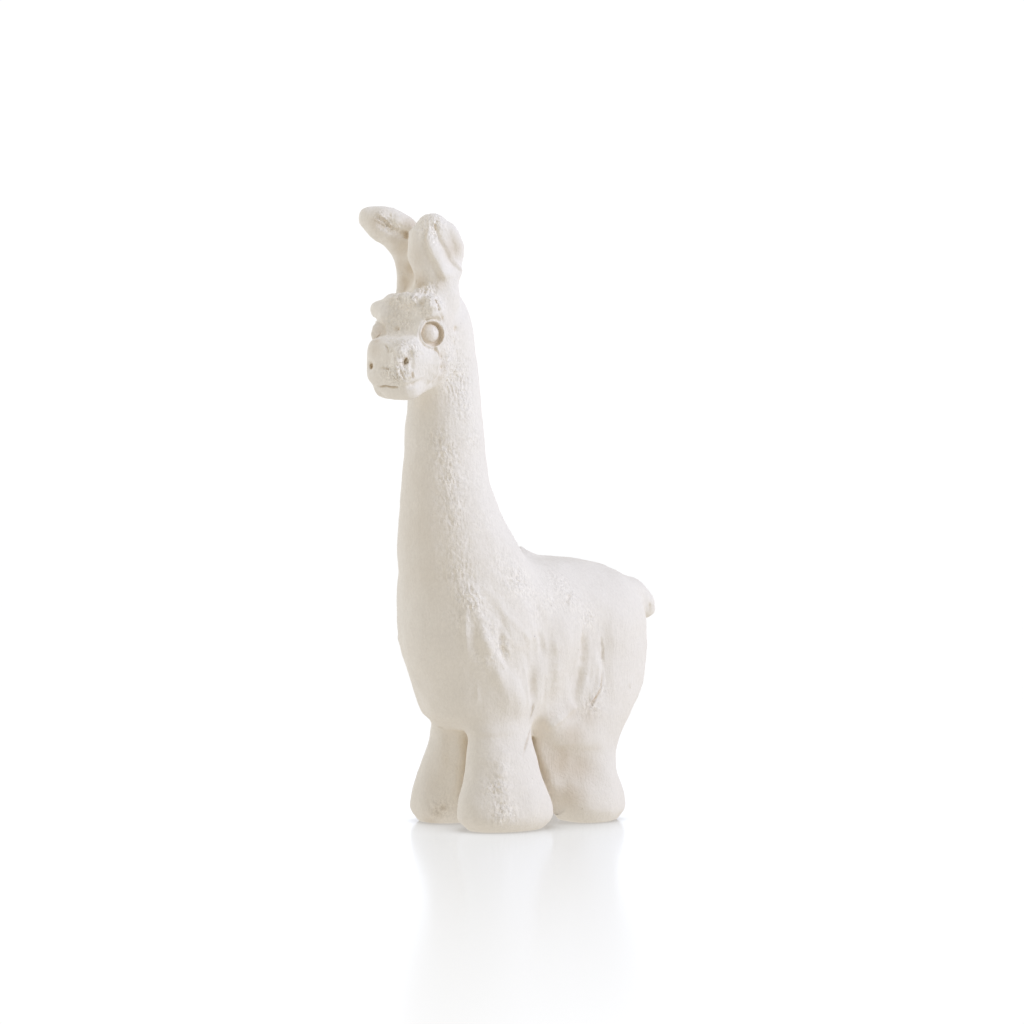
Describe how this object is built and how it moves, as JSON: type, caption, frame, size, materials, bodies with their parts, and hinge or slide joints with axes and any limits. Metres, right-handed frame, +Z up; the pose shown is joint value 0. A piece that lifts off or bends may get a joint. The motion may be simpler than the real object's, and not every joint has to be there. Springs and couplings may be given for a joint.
{
  "type": "llama figurine",
  "caption": "Standing llama with a tall neck, turned head, folded ears, ringed eyes and stumpy legs, modelled by hand in white unglazed clay.",
  "frame": {"origin": "middle of the bounding box in plan, on the ground under the soles", "axes": "+Z up from the soles to the ears, -Y the way the body faces, +X the llama's own left side"},
  "size_m": [0.066, 0.154, 0.2399],
  "materials": {
    "clay": "matte, unglazed"
  },
  "bodies": {
    "root": {"llama": "clay"}
  },
  "joints": []
}
